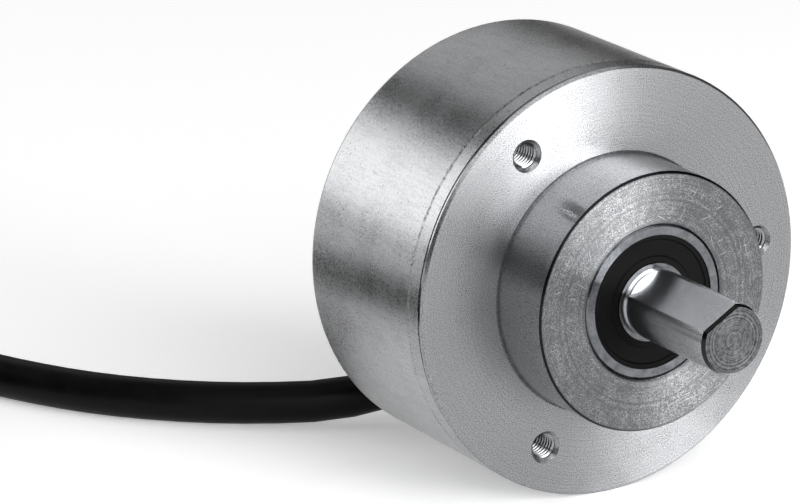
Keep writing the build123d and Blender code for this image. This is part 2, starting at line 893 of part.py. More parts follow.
# Tail: from the top of the coil to the plug, which lies on its coupling screw
leave = radians(coil_leave_angle)
tail_way = Vector(-sin(leave), cos(leave), 0)
tail_start = coil_centre + Vector(cos(leave), sin(leave), 0) * coil_leave_radius
tail_start.Z = table_height + coil_height - cable_radius
plug_start = tail_start + tail_way * plug_gap_to_coil
plug_start.Z = table_height + screw_ring_radius
tail_points = [tail_start, plug_start]
with BuildPart() as cable_tail:
    with BuildLine() as tail_line:
        Line(*tail_points)
    with BuildSketch(Plane(origin=tail_line.line @ 0, z_dir=tail_line.line % 0)):
        Circle(cable_radius)
    sweep()
finish(cable_tail, "cable_tail")

# Plug, turned about its own axis: places along it are counted from the end of the tail
plug_axis = Axis(plug_start, tail_way)
grip_end = plug_tail_length + plug_grip_length
stem_end = grip_end + plug_stem_length
screw_start = grip_end + screw_play
screw_ring_end = screw_start + screw_ring_length
screw_end = screw_ring_end + screw_thread_length


def across_plug(distance):
    """The plane across the plug's axis at this distance from the end of the tail."""
    return Plane(origin=plug_start + tail_way * distance, x_dir=(0, 0, 1), z_dir=tail_way)


# Moulded plug body: ribbed tail, grip and the stem that the coupling screw turns on
tail_pitch = plug_tail_length / (plug_rib_count + 1)
body_corners = [(0, 0), (plug_tail_radius, 0)]
for rib in range(1, plug_rib_count + 1):
    middle = rib * tail_pitch
    radius = plug_tail_radius + (plug_neck_radius - plug_tail_radius) * rib / (plug_rib_count + 1)
    body_corners += [
        (radius, middle - plug_rib_width / 2),
        (radius - plug_rib_depth, middle - plug_rib_width / 2),
        (radius - plug_rib_depth, middle + plug_rib_width / 2),
        (radius, middle + plug_rib_width / 2),
    ]
body_corners += [
    (plug_neck_radius, plug_tail_length),
    (plug_grip_radius, plug_tail_length + plug_grip_radius - plug_neck_radius),
    (plug_grip_end_radius, grip_end),
    (plug_stem_radius, grip_end),
    (plug_stem_radius, stem_end),
    (0, stem_end),
]
with BuildPart() as plug_body:
    with BuildSketch(axis_plane(plug_start, tail_way)):
        with BuildLine():
            Polyline(*body_corners, close=True)
        make_face()
    revolve(axis=plug_axis)
finish(plug_body, "plug_body")

# Coupling screw: a knurled ring and a threaded tube, free to turn on the stem
screw_bore = plug_stem_radius + screw_play
with BuildPart() as plug_coupling_screw:
    with BuildSketch(axis_plane(plug_start, tail_way)):
        with BuildLine():
            Polyline(
                (screw_bore, screw_start),
                (screw_ring_radius - screw_ring_bevel, screw_start),
                (screw_ring_radius, screw_start + screw_ring_bevel),
                (screw_ring_radius, screw_ring_end - screw_ring_bevel),
                (screw_ring_radius - screw_ring_bevel, screw_ring_end),
                (screw_wall_radius, screw_ring_end),
                (screw_wall_radius, screw_end - screw_ring_bevel),
                (screw_wall_radius - screw_ring_bevel, screw_end),
                (screw_bore, screw_end),
                close=True,
            )
        make_face()
    revolve(axis=plug_axis)
    with BuildSketch(across_plug(screw_start)):
        with PolarLocations(screw_ring_radius, knurl_count, start_angle=180 / knurl_count):
            RegularPolygon(knurl_radius, 4)
    extrude(amount=screw_ring_length, mode=Mode.SUBTRACT)
finish(plug_coupling_screw, "plug_coupling_screw")

# Insert: the tube around the pins, closed at its foot
with BuildPart() as plug_insert:
    with BuildSketch(across_plug(stem_end)):
        Circle(insert_radius)
    extrude(amount=screw_end - stem_end)
    with BuildSketch(across_plug(stem_end + insert_floor)):
        Circle(insert_bore_radius)
    extrude(amount=screw_end - stem_end - insert_floor, mode=Mode.SUBTRACT)
finish(plug_insert, "plug_insert")

# Pins: seven on a circle and one in the middle
with BuildPart() as plug_pins:
    with BuildSketch(across_plug(stem_end + insert_floor)):
        Circle(pin_radius)
        with PolarLocations(pin_circle_radius, pin_outer_count):
            Circle(pin_radius)
    extrude(amount=min(pin_reach, screw_end - stem_end - insert_floor - pin_radius))
finish(plug_pins, "plug_pins")

# Sealing ring in front of the knurled ring
with BuildPart() as plug_seal_ring:
    with BuildSketch(across_plug(screw_ring_end)):
        Circle(screw_wall_radius + plug_seal_height)
        Circle(screw_wall_radius + bearing_play, mode=Mode.SUBTRACT)
    extrude(amount=plug_seal_height)
finish(plug_seal_ring, "plug_seal_ring")

lead_length = lead_line.wire().length
print("cable arcs:", [round(radius, 1) for radius in lead_radii])
print("cable volume over section times length:",
      round(cable_lead.part.volume / (pi * cable_radius**2 * lead_length), 4))
print("lead length:", round(lead_length, 1))
print("coil centre:", coil_centre, "plug start:", plug_start)
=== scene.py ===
"""Incremental rotary encoder on a pale table, with its cable, put-away coil and plug.

Metres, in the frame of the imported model: the shaft points to -Y, +Z is up, the origin is the
centre of the flange's front face and the table is at z = -0.025.
"""

from math import atan2, cos, pi, radians, sin

import bmesh
import bpy
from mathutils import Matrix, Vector


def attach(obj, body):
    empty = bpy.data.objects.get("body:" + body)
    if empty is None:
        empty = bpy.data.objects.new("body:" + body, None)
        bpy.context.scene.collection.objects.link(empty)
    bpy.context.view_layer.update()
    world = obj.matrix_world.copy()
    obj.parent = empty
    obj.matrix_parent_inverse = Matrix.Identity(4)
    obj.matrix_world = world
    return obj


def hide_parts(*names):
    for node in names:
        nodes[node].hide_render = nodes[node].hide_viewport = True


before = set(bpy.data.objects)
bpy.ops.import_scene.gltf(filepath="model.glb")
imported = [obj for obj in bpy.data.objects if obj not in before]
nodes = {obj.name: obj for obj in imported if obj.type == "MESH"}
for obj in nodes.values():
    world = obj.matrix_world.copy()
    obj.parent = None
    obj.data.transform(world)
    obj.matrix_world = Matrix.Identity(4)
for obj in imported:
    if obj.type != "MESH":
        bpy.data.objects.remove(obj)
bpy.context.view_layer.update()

MM = 0.001

# Places on the CAD pieces that the finishes and the new pieces follow, in millimetres
collar_face = -8.5
collar_radius = 15.0
collar_edge = 0.3
shaft_tip = -24.0
cover_front = 0.95
bead_station = 2.9
bead_half_width = 0.25
wire_pitch = 1.15
outlet_centre = Vector((10.61, 0, -14.19))
outlet_along = Vector((0.941, 0, 0.339))
outlet_up = Vector((-0.339, 0, 0.941))
plug_thread_start = 39.9
plug_thread_pitch = 1.0
plug_thread_depth = 0.45


# Camera: the viewpoint that was fitted to the photograph
camera_azimuth = radians(-31.183)
camera_elevation = radians(17.434)
camera_place = Vector((-282.42, -420.83, 162.56)) * MM
sensor_width = 36.0
lens = 213.03

back = Vector((
    sin(camera_azimuth) * cos(camera_elevation),
    -cos(camera_azimuth) * cos(camera_elevation),
    sin(camera_elevation),
))
camera_data = bpy.data.cameras.new("camera")
camera_data.sensor_width = sensor_width
camera_data.lens = lens
camera_data.clip_start = 0.05
camera_data.clip_end = 10.0
camera = bpy.data.objects.new("camera", camera_data)
camera.location = camera_place
camera.rotation_euler = (-back).to_track_quat("-Z", "Y").to_euler()
bpy.context.scene.collection.objects.link(camera)
bpy.context.scene.camera = camera
bpy.context.scene.view_settings.view_transform = "Standard"


# Small helpers
def linear(hex_colour):
    """An sRGB hex value as the linear colour that a shader takes."""
    parts = [int(hex_colour[i:i + 2], 16) / 255 for i in (1, 3, 5)]
    return [c / 12.92 if c <= 0.04045 else ((c + 0.055) / 1.055) ** 2.4 for c in parts] + [1.0]


def put(tree, kind, inputs=(), **settings):
    """Add a node with its settings. inputs pairs a socket's name or place with a value or a link."""
    made = tree.nodes.new(kind)
    for name, value in settings.items():
        setattr(made, name, value)
    for socket, value in dict(inputs).items():
        if isinstance(value, bpy.types.NodeSocket):
            tree.links.new(value, made.inputs[socket])
        else:
            made.inputs[socket].default_value = value
    return made


def start(name, hex_colour, metallic, roughness, **sockets):
    """A new material with its shader's constants set, as (material, node tree, shader)."""
    material = bpy.data.materials.new(name)
    material.use_nodes = True
    tree = material.node_tree
    shader = tree.nodes["Principled BSDF"]
    shader.inputs["Base Color"].default_value = linear(hex_colour)
    shader.inputs["Metallic"].default_value = metallic
    shader.inputs["Roughness"].default_value = roughness
    for socket, value in sockets.items():
        shader.inputs[socket.replace("_", " ")].default_value = value
    material.diffuse_color = linear(hex_colour)
    return material, tree, shader


def object_place(tree):
    """The place on the object in its own frame, in metres."""
    return put(tree, "ShaderNodeTexCoord").outputs["Object"]


def calculate(tree, operation, *values):
    """A math node's result from sockets and numbers."""
    return put(tree, "ShaderNodeMath", dict(enumerate(values)), operation=operation).outputs[0]


def plus(tree, first, second):
    """The sum of two values."""
    return calculate(tree, "ADD", first, second)


def minus(tree, first, second):
    """The difference of two values."""
    return calculate(tree, "SUBTRACT", first, second)


def times(tree, first, second):
    """The product of two values."""
    return calculate(tree, "MULTIPLY", first, second)


def blend(tree, first, second, share):
    """Two values mixed, by a fixed share of the first."""
    return plus(tree, times(tree, first, share), times(tree, second, 1 - share))


def along_shaft(tree, vector):
    """The part of a place or direction that runs along the shaft's axis."""
    return put(tree, "ShaderNodeSeparateXYZ", {0: vector}).outputs["Y"]


def axis_distance(tree, place):
    """The distance from the shaft's axis."""
    across = put(tree, "ShaderNodeVectorMath", {0: place, 1: (1, 0, 1)}, operation="MULTIPLY")
    return put(tree, "ShaderNodeVectorMath", {0: across.outputs[0]}, operation="LENGTH").outputs["Value"]


def scaled(tree, place, factors):
    """A place stretched by a factor on each axis, so that a pattern runs in streaks."""
    return put(tree, "ShaderNodeVectorMath", {0: place, 1: factors}, operation="MULTIPLY").outputs[0]


def noise(tree, place, size, detail=3.0, roughness=0.6):
    """Noise whose largest blotches are about this many millimetres wide."""
    inputs = {"Vector": place, "Scale": 1 / (size * MM), "Detail": detail, "Roughness": roughness}
    return put(tree, "ShaderNodeTexNoise", inputs).outputs["Fac"]


def lines(tree, distance, width):
    """Uneven fine lines along a distance, each about this many millimetres wide."""
    inputs = {"W": distance, "Scale": 1 / (width * MM), "Detail": 4.0, "Roughness": 0.75}
    return put(tree, "ShaderNodeTexNoise", inputs, noise_dimensions="1D").outputs["Fac"]


def spread(tree, value, low, high, to_low, to_high):
    """A value moved from one range to another, and held inside it."""
    inputs = {"Value": value, "From Min": low, "From Max": high, "To Min": to_low, "To Max": to_high}
    return put(tree, "ShaderNodeMapRange", inputs).outputs["Result"]


def tint(tree, share, first, second):
    """A colour between two, by a share of the second."""
    return put(tree, "ShaderNodeMix", {0: share, 6: first, 7: second}, data_type="RGBA").outputs[2]


def colour_range(tree, shader, share, dark, pale):
    """The shader's colour, from dark where share is 0 to pale where it is 1."""
    tree.links.new(tint(tree, share, linear(dark), linear(pale)), shader.inputs["Base Color"])


def roughness_range(tree, shader, share, smooth, rough):
    """The shader's roughness, from smooth where share is 0.3 to rough where it is 0.7."""
    tree.links.new(spread(tree, share, 0.3, 0.7, smooth, rough), shader.inputs["Roughness"])


def relief(tree, shader, *layers):
    """Bumps on the shader's normal. Each layer is a height from 0 to 1 and its depth in millimetres."""
    normal = None
    for height, depth in layers:
        inputs = {"Height": height, "Distance": depth * MM, "Strength": 1.0}
        if normal:
            inputs["Normal"] = normal
        normal = put(tree, "ShaderNodeBump", inputs).outputs["Normal"]
    tree.links.new(normal, shader.inputs["Normal"])


def facing_axis(tree):
    """How far a face looks along the shaft's axis: 1 on end faces and 0 on sides."""
    normal = put(tree, "ShaderNodeTexCoord").outputs["Normal"]
    return calculate(tree, "ABSOLUTE", along_shaft(tree, normal))


def scratches(tree, place, width, angles):
    """Thin straight scratches on a face across the axis, some in each direction."""
    found = None
    for angle in angles:
        inputs = {"Vector": place, "Axis": (0, 1, 0), "Angle": radians(angle)}
        turned = put(tree, "ShaderNodeVectorRotate", inputs, rotation_type="AXIS_ANGLE").outputs[0]
        streaks = noise(tree, scaled(tree, turned, (0.05, 0.05, 1)), width, 1.0, 0.5)
        marks = spread(tree, streaks, 0.72, 0.8, 0.0, 1.0)
        found = marks if found is None else calculate(tree, "MAXIMUM", found, marks)
    return found


def turned_grain(tree, shader, strength):
    """Highlights that spread across the lathe's marks, which run round the shaft's axis."""
    around = put(tree, "ShaderNodeTangent", direction_type="RADIAL", axis="Y")
    tree.links.new(around.outputs[0], shader.inputs["Tangent"])
    shader.inputs["Anisotropic"].default_value = strength
    shader.inputs["Anisotropic Rotation"].default_value = 0.25


def grained(name, dark, pale, metallic, roughness, grain, depth, **sockets):
    """A finish with an even grain, whose size and depth are in millimetres."""
    material, tree, shader = start(name, pale, metallic, roughness, **sockets)
    place = object_place(tree)
    specks = noise(tree, place, grain)
    patches = noise(tree, place, grain * 12, 2.0, 0.5)
    colour_range(tree, shader, spread(tree, patches, 0.35, 0.65, 0.3, 1.0), dark, pale)
    roughness_range(tree, shader, specks, roughness * 0.85, roughness * 1.15)
    relief(tree, shader, (specks, depth))
    return material


def piece(name, mesh_builder, material, body, smooth=True):
    """A new piece from a bmesh, with its place in its mesh, on a body."""
    mesh = bpy.data.meshes.new(name)
    bmesh.ops.recalc_face_normals(mesh_builder, faces=mesh_builder.faces)
    mesh_builder.to_mesh(mesh)
    mesh_builder.free()
    mesh.materials.append(material)
    for polygon in mesh.polygons:
        polygon.use_smooth = smooth
    made = bpy.data.objects.new(name, mesh)
    bpy.context.scene.collection.objects.link(made)
    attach(made, body)
    return made


def dress(material, *names):
    """Give CAD nodes a finish."""
    for name in names:
        nodes[name].data.materials.clear()
        nodes[name].data.materials.append(material)


# Materials
def turned_aluminium():
    """Flange: fine lathe rings and highlights that fan out from the axis.

    The collar's face is pitted, stained and scratched, its edge is painted dark as shade, and the
    sides are smoother than the faces and painted brighter as highlight.
    """
    material, tree, shader = start("turned_aluminium", "#a8a9ab", 1.0, 0.3)
    place = object_place(tree)
    along = along_shaft(tree, place)
    distance = axis_distance(tree, place)
    rings = lines(tree, distance, 0.14)
    specks = noise(tree, place, 0.13, 2.0, 0.75)
    pale = spread(tree, specks, 0.34, 0.6, 0.0, 1.0)
    fine = times(tree, pale, spread(tree, rings, 0.3, 0.56, 0.55, 1.0))

    # Wear on the collar's face
    worn = spread(tree, along, (collar_face + 0.1) * MM, (collar_face + 0.3) * MM, 1.0, 0.0)
    grit = noise(tree, place, 0.16, 5.0, 0.8)
    stains = noise(tree, place, 2.2, 4.0, 0.75)
    coarse_rings = lines(tree, distance, 0.35)
    pits = times(tree, spread(tree, grit, 0.38, 0.54, 0.9, 0.0), worn)
    stained = times(tree, spread(tree, stains, 0.4, 0.6, 0.3, 0.0), worn)
    turned = times(tree, spread(tree, coarse_rings, 0.35, 0.55, 0.4, 0.0), worn)
    marks = times(tree, scratches(tree, place, 0.13, (12, 57, 101, 148)), worn)
    dull = plus(tree, plus(tree, pits, stained), turned)
    share = calculate(tree, "MAXIMUM", minus(tree, fine, dull), marks)

    # The collar's edge painted dark as shade, then the sides, smoother and painted brighter as highlight
    edge_start = (collar_radius - collar_edge) * MM
    edge_end = (collar_face + collar_edge) * MM
    past_face = spread(tree, distance, edge_start, edge_start + 0.06 * MM, 0.0, 1.0)
    before_side = spread(tree, along, edge_end - 0.04 * MM, edge_end + 0.02 * MM, 1.0, 0.0)
    # Painted shade: the colour goes almost black along the collar's edge
    outside_painted_edge_shade = minus(tree, 1.0, times(tree, past_face, before_side))
    share = times(tree, spread(tree, share, 0.0, 1.0, 0.27, 1.0), outside_painted_edge_shade)
    on_side = spread(tree, facing_axis(tree), 0.2, 0.5, 1.0, 0.0)
    # Painted highlight: the sides get a paler colour than the faces, as lit copies of the same metal
    bright = tint(tree, on_side, linear("#a6a7a9"), linear("#c0c1c3"))
    tree.links.new(tint(tree, share, linear("#202122"), bright), shader.inputs["Base Color"])
    patches = noise(tree, place, 6.0)
    roughness = spread(tree, blend(tree, patches, specks, 0.5), 0.3, 0.7, 0.22, 0.38)
    smoother = spread(tree, on_side, 0.0, 1.0, 1.0, 0.7)
    tree.links.new(times(tree, roughness, smoother), shader.inputs["Roughness"])
    relief(
        tree, shader,
        (rings, 0.0028), (specks, 0.0008), (times(tree, grit, worn), 0.008), (marks, 0.006),
    )
    turned_grain(tree, shader, 0.8)
    return material


def cut_thread_aluminium():
    """Mounting threads: cut flanks, smoother than the face round them and painted darker as shade."""
    return grained("cut_thread_aluminium", "#77787a", "#97989a", 1.0, 0.2, 0.1, 0.0015)


def tumbled_cover_metal():
    """Cover: bright metal with a fine speckle, soft clouds, small dark pits and short scratches.

    The lip between its front and its bead has a slope, so that it shines apart, and wear breaks
    up the bead's line.
    """
    material, tree, shader = start("tumbled_cover_metal", "#a5a6a8", 1.0, 0.3)
    place = object_place(tree)
    specks = noise(tree, place, 0.22, 3.0, 0.8)
    pitting = noise(tree, place, 0.5, 3.0, 0.7)
    streaks = noise(tree, scaled(tree, place, (1, 0.12, 1)), 0.5, 3.0, 0.7)
    clouds = noise(tree, place, 5.0, 5.0, 0.65)
    hair_lines = noise(tree, scaled(tree, place, (1, 0.3, 0.12)), 0.25, 1.0, 0.5)
    shade = spread(tree, clouds, 0.36, 0.58, 0.85, 1.0)
    for pattern, low, high, darkest in (
        (specks, 0.36, 0.56, 0.65), (streaks, 0.35, 0.55, 0.88), (pitting, 0.27, 0.37, 0.2),
    ):
        shade = times(tree, shade, spread(tree, pattern, low, high, darkest, 1.0))
    colour_range(tree, shader, shade, "#434446", "#b2b3b5")
    roughness_range(tree, shader, blend(tree, clouds, specks, 0.35), 0.2, 0.36)

    # The lip's slope and the worn bead
    along = along_shaft(tree, place)
    lip_slope = spread(tree, along, cover_front * MM, (bead_station - 0.2) * MM, 1.0, 0.0)
    off_bead = calculate(tree, "ABSOLUTE", minus(tree, along, bead_station * MM))
    bead = spread(tree, off_bead, 0.0, bead_half_width * MM, 1.0, 0.0)
    wear = noise(tree, scaled(tree, place, (1, 0.5, 1)), 0.5, 3.0, 0.7)
    worn_bead = times(tree, bead, spread(tree, wear, 0.46, 0.62, 0.97, 0.5))
    relief(
        tree, shader,
        (specks, 0.012), (streaks, 0.004), (hair_lines, 0.005), (lip_slope, 0.2), (worn_bead, 0.1),
    )
    return material


def ground_shaft_steel():
    """Shaft: bright ground steel, with the chamfer at its tip painted dark as shade.

    Its end face is duller and mottled, and shows turning rings and scratches.
    """
    material, tree, shader = start("ground_shaft_steel", "#a6a7a9", 1.0, 0.2)
    place = object_place(tree)
    along = along_shaft(tree, place)
    facing = facing_axis(tree)
    at_tip = spread(tree, along, (shaft_tip + 0.8) * MM, (shaft_tip + 1.1) * MM, 1.0, 0.0)
    on_end = times(tree, spread(tree, facing, 0.8, 0.95, 0.0, 1.0), at_tip)
    on_chamfer = times(tree, spread(tree, facing, 0.2, 0.35, 0.0, 1.0), at_tip)
    rings = lines(tree, axis_distance(tree, place), 0.2)
    mottle = noise(tree, place, 0.5, 5.0, 0.75)
    specks = noise(tree, place, 0.25, 4.0, 0.8)
    marks = times(tree, scratches(tree, place, 0.1, (33, 120)), on_end)
    mottled = spread(tree, mottle, 0.36, 0.62, 0.82, 0.62)
    ringed = spread(tree, rings, 0.35, 0.6, 0.2, 0.0)
    dull = times(tree, plus(tree, mottled, ringed), on_end)
    # Painted shade: the tip's chamfer is painted almost black
    painted_chamfer_shade = times(tree, minus(tree, on_chamfer, on_end), 0.97)
    dull = plus(tree, dull, calculate(tree, "MAXIMUM", painted_chamfer_shade, 0.0))
    share = calculate(tree, "MAXIMUM", minus(tree, 1.0, dull), times(tree, marks, 0.6))
    colour_range(tree, shader, share, "#161718", "#c4c5c7")
    roughness_range(tree, shader, specks, 0.15, 0.26)
    relief(
        tree, shader,
        (times(tree, rings, on_end), 0.006), (times(tree, mottle, on_end), 0.004),
        (lines(tree, along, 0.1), 0.0012), (marks, 0.004),
    )
    turned_grain(tree, shader, 0.6)
    return material


def ground_bearing_steel():
    """Bearing rings: ground chrome steel, darker than the shaft, with hair lines across its faces."""
    material, tree, shader = start("ground_bearing_steel", "#7b7d7f", 1.0, 0.2)
    place = object_place(tree)
    rings = lines(tree, axis_distance(tree, place), 0.12)
    patches = noise(tree, place, 1.2, 3.0, 0.7)
    colour_range(tree, shader, spread(tree, patches, 0.35, 0.65, 0.0, 1.0), "#5a5c5f", "#76787b")
    roughness_range(tree, shader, patches, 0.14, 0.26)
    relief(tree, shader, (rings, 0.002), (patches, 0.004))
    turned_grain(tree, shader, 0.45)
    return material


def polished_ball_steel():
    """Balls: polished chrome steel, almost without grain."""
    return grained("polished_ball_steel", "#c9cbcd", "#e0e2e4", 1.0, 0.07, 0.3, 0.0004)


def moulded_seal_rubber():
    """Bearing seals: black nitrile with faint moulded rings and a soft sheen."""
    material, tree, shader = start("moulded_seal_rubber", "#050505", 0.0, 0.45, Specular_IOR_Level=0.06)
    place = object_place(tree)
    rings = lines(tree, axis_distance(tree, place), 0.3)
    specks = noise(tree, place, 0.12)
    colour_range(tree, shader, rings, "#030303", "#090909")
    roughness_range(tree, shader, specks, 0.4, 0.55)
    relief(tree, shader, (rings, 0.006), (specks, 0.003))
    return material


def cage_nylon():
    """Bearing cages: matte moulded nylon in a warm off-white."""
    return grained("cage_nylon", "#b9b29f", "#d3ccb8", 0.0, 0.5, 0.2, 0.003)


def spring_steel():
    """Wave washer and retaining ring: dark blued spring steel with a rolled grain."""
    return grained("spring_steel", "#34363a", "#4c4f54", 1.0, 0.34, 0.15, 0.002)


def zinc_screw_steel():
    """Screws: bright zinc plate with a slightly cloudy surface."""
    return grained("zinc_screw_steel", "#9fa3a8", "#c4c8cc", 1.0, 0.3, 0.25, 0.002)


def turned_brass():
    """Disc hub and clamp ring: yellow brass with turning rings."""
    material, tree, shader = start("turned_brass", "#c9a551", 1.0, 0.26)
    rings = lines(tree, axis_distance(tree, object_place(tree)), 0.2)
    colour_range(tree, shader, rings, "#a8873c", "#d6b25e")
    roughness_range(tree, shader, rings, 0.2, 0.34)
    relief(tree, shader, (rings, 0.003))
    turned_grain(tree, shader, 0.4)
    return material


def etched_disc_steel():
    """Code disc: blackened etched steel, fine and matte."""
    return grained("etched_disc_steel", "#26272a", "#35373a", 1.0, 0.4, 0.1, 0.001)


def black_optic_plastic():
    """Lamp holder: black moulded plastic with a fine spark-eroded texture."""
    return grained("black_optic_plastic", "#0e0f10", "#1a1b1c", 0.0, 0.48, 0.25, 0.004)


def clear_lens_epoxy():
    """Lamp: clear epoxy with a faint blue cast."""
    return grained(
        "clear_lens_epoxy", "#bccbd8", "#d5e2ec", 0.0, 0.06, 0.5, 0.001,
        Transmission_Weight=0.85, IOR=1.5,
    )


def coated_mask_glass():
    """Scanning mask: glass darkened by its chrome slit pattern."""
    material, tree, shader = start("coated_mask_glass", "#4d565c", 0.6, 0.1, IOR=1.52)
    place = object_place(tree)
    along = put(tree, "ShaderNodeSeparateXYZ", {0: place}).outputs["X"]
    slits = calculate(tree, "FRACT", times(tree, along, 1 / (0.4 * MM)))
    colour_range(tree, shader, spread(tree, slits, 0.48, 0.52, 0.0, 1.0), "#23282c", "#8d979e")
    roughness_range(tree, shader, noise(tree, place, 0.3), 0.08, 0.13)
    return material


def tinned_leads():
    """Component leads: bright tin with a soft unevenness."""
    return grained("tinned_leads", "#a9acae", "#ced1d3", 1.0, 0.24, 0.3, 0.003)


def green_board_laminate():
    """Circuit board: green solder resist over glass cloth, whose weave shows faintly."""
    material, tree, shader = start("green_board_laminate", "#17573a", 0.0, 0.32, Coat_Weight=0.3)
    place = object_place(tree)
    parts = put(tree, "ShaderNodeSeparateXYZ", {0: place}).outputs
    weave = None
    for axis in ("X", "Z"):
        wave = calculate(tree, "SINE", times(tree, parts[axis], 2 * pi / (0.6 * MM)))
        weave = wave if weave is None else times(tree, weave, wave)
    weave = spread(tree, weave, -1.0, 1.0, 0.0, 1.0)
    colour_range(tree, shader, weave, "#124a30", "#1d6443")
    roughness_range(tree, shader, noise(tree, place, 0.4), 0.27, 0.38)
    relief(tree, shader, (weave, 0.006))
    return material


def moulded_chip_epoxy():
    """Chips: matte dark grey epoxy with the mould's fine texture."""
    return grained("moulded_chip_epoxy", "#17181a", "#232527", 0.0, 0.6, 0.12, 0.004)


def header_nylon():
    """Wire header: plain white nylon, slightly cloudy."""
    return grained("header_nylon", "#cfccc2", "#e2dfd6", 0.0, 0.45, 0.3, 0.003)


def wire_insulation():
    """Inner wires: each wire's own colour, by its place in the row, under a waxy gloss.

    The row follows the outlet's long side.
    """
    material, tree, shader = start("wire_insulation", "#b23a32", 0.0, 0.38)
    place = object_place(tree)
    inputs = {0: place, 1: tuple(outlet_along)}
    row = put(tree, "ShaderNodeVectorMath", inputs, operation="DOT_PRODUCT").outputs["Value"]
    column = calculate(tree, "FLOOR", times(tree, row, 1 / (wire_pitch * MM)))
    chance = put(tree, "ShaderNodeTexWhiteNoise", {"W": column}, noise_dimensions="1D").outputs["Value"]
    hue = put(tree, "ShaderNodeCombineColor", {0: chance, 1: 0.72, 2: 0.62}, mode="HSV").outputs[0]
    tree.links.new(hue, shader.inputs["Base Color"])
    roughness_range(tree, shader, noise(tree, place, 0.3), 0.32, 0.46)
    return material


def outlet_nylon():
    """Cable outlet: black glass-filled nylon with a fine uneven skin."""
    return grained("outlet_nylon", "#121314", "#1d1e1f", 0.0, 0.5, 0.3, 0.008)


def boot_rubber():
    """Cable boot: soft matte black rubber."""
    return grained("boot_rubber", "#0c0c0c", "#161617", 0.0, 0.62, 0.2, 0.006)


def cable_jacket_pvc():
    """Cable: black PVC, matte with one soft highlight and a slight orange-peel skin."""
    material, tree, shader = start("cable_jacket_pvc", "#070707", 0.0, 0.44, Specular_IOR_Level=0.12)
    place = object_place(tree)
    peel = noise(tree, place, 0.5, 2.0, 0.5)
    dust = noise(tree, place, 8.0, 5.0, 0.7)
    colour_range(tree, shader, spread(tree, dust, 0.4, 0.75, 0.0, 1.0), "#040404", "#0b0b0b")
    roughness_range(tree, shader, dust, 0.38, 0.52)
    relief(tree, shader, (peel, 0.01))
    return material


def plug_nylon():
    """Plug's grip and insert: black nylon with a fine satin texture."""
    return grained("plug_nylon", "#101112", "#1b1c1d", 0.0, 0.44, 0.25, 0.006)


def nickel_plated_brass(plug_place, plug_way):
    """Plug's coupling screw: bright nickel over turned brass, with its fine thread past the knurl."""
    material, tree, shader = start("nickel_plated_brass", "#c7c5bf", 1.0, 0.2)
    place = object_place(tree)
    inputs = {0: place, 1: tuple(plug_place)}
    from_start = put(tree, "ShaderNodeVectorMath", inputs, operation="SUBTRACT").outputs[0]
    inputs = {0: from_start, 1: tuple(plug_way)}
    along = put(tree, "ShaderNodeVectorMath", inputs, operation="DOT_PRODUCT").outputs["Value"]
    turns = times(tree, along, 1 / (plug_thread_pitch * MM))
    ridge = calculate(tree, "PINGPONG", turns, 0.5)
    threaded = calculate(tree, "GREATER_THAN", along, plug_thread_start * MM)
    thread = times(tree, spread(tree, ridge, 0.0, 0.5, 0.0, 1.0), threaded)
    specks = noise(tree, place, 0.3)
    colour_range(tree, shader, specks, "#aaa8a2", "#d2d0ca")
    roughness_range(tree, shader, specks, 0.15, 0.27)
    relief(tree, shader, (thread, plug_thread_depth), (specks, 0.002))
    return material


def contact_gold():
    """Plug's pins: gold plate over brass."""
    return grained("contact_gold", "#c69a3a", "#e3bd62", 1.0, 0.18, 0.2, 0.001)


def sealing_rubber():
    """O-rings and gaskets: black rubber with a dull bloom."""
    return grained("sealing_rubber", "#101010", "#1c1c1c", 0.0, 0.55, 0.25, 0.004)


aluminium = turned_aluminium()
screw_metal = zinc_screw_steel()
jacket = cable_jacket_pvc()
plug_plastic = plug_nylon()
rubber = sealing_rubber()
brass = turned_brass()
bearing_metal = ground_bearing_steel()
blued_spring = spring_steel()
dress(aluminium, "flange")
dress(tumbled_cover_metal(), "cover")
dress(ground_shaft_steel(), "shaft")
dress(
    bearing_metal,
    "front_bearing_outer_ring", "front_bearing_inner_ring",
    "rear_bearing_outer_ring", "rear_bearing_inner_ring",
)
dress(polished_ball_steel(), "front_bearing_balls", "rear_bearing_balls")
dress(moulded_seal_rubber(), "front_bearing_seals", "rear_bearing_seals")
dress(cage_nylon(), "front_bearing_cage", "rear_bearing_cage")
dress(blued_spring, "preload_spring", "bearing_retaining_ring")
dress(screw_metal, "hub_screw", "board_pillars", "board_screws")
dress(brass, "disc_hub", "disc_clamp_ring")
dress(etched_disc_steel(), "code_disc")
dress(black_optic_plastic(), "led_holder")
dress(clear_lens_epoxy(), "led_emitter")
dress(tinned_leads(), "led_leads")
dress(coated_mask_glass(), "scanning_mask")
dress(moulded_chip_epoxy(), "sensor_chip", "board_chips")
dress(green_board_laminate(), "circuit_board")
dress(header_nylon(), "wire_header")
dress(wire_insulation(), "inner_wires")
dress(outlet_nylon(), "cable_outlet")
dress(boot_rubber(), "cable_boot")
dress(jacket, "cable_jacket_end")
dress(rubber, "cover_o_ring", "outlet_gasket", "plug_seal_ring")
dress(plug_plastic, "plug_body", "plug_insert")
dress(contact_gold(), "plug_pins")


# Cable: one spline from the outlet's mouth along the table, into the coil and out to the plug
cable_diameter = 5.0 * MM
table_height = -25.0 * MM
on_table = -22.5
lead_points = [
    (4.5, 29.4, -16.4),
    (-10.3, 33.1, -21.75),
    (-24.5, 41.4, on_table),
    (-36.1, 51.7, on_table),
    (-43.6, 63.8, on_table),
    (-48.7, 77.1, on_table),
    (-53.7, 88.0, on_table),
]
coil_radius = 33.5
coil_inner_radius = 18.5
coil_upper_inner_radius = 21.0
coil_leave_radius = 31.5
coil_low_laps = 3.0
coil_climb_laps = 0.4
coil_climb_tuck = 1.2
coil_upper = -17.5
coil_leave_angle = radians(195.0)
coil_points_per_lap = 24
plug_gap_to_coil = 24.0
tail_shares = (0.35, 0.7)
tail_inside_plug = 1.0

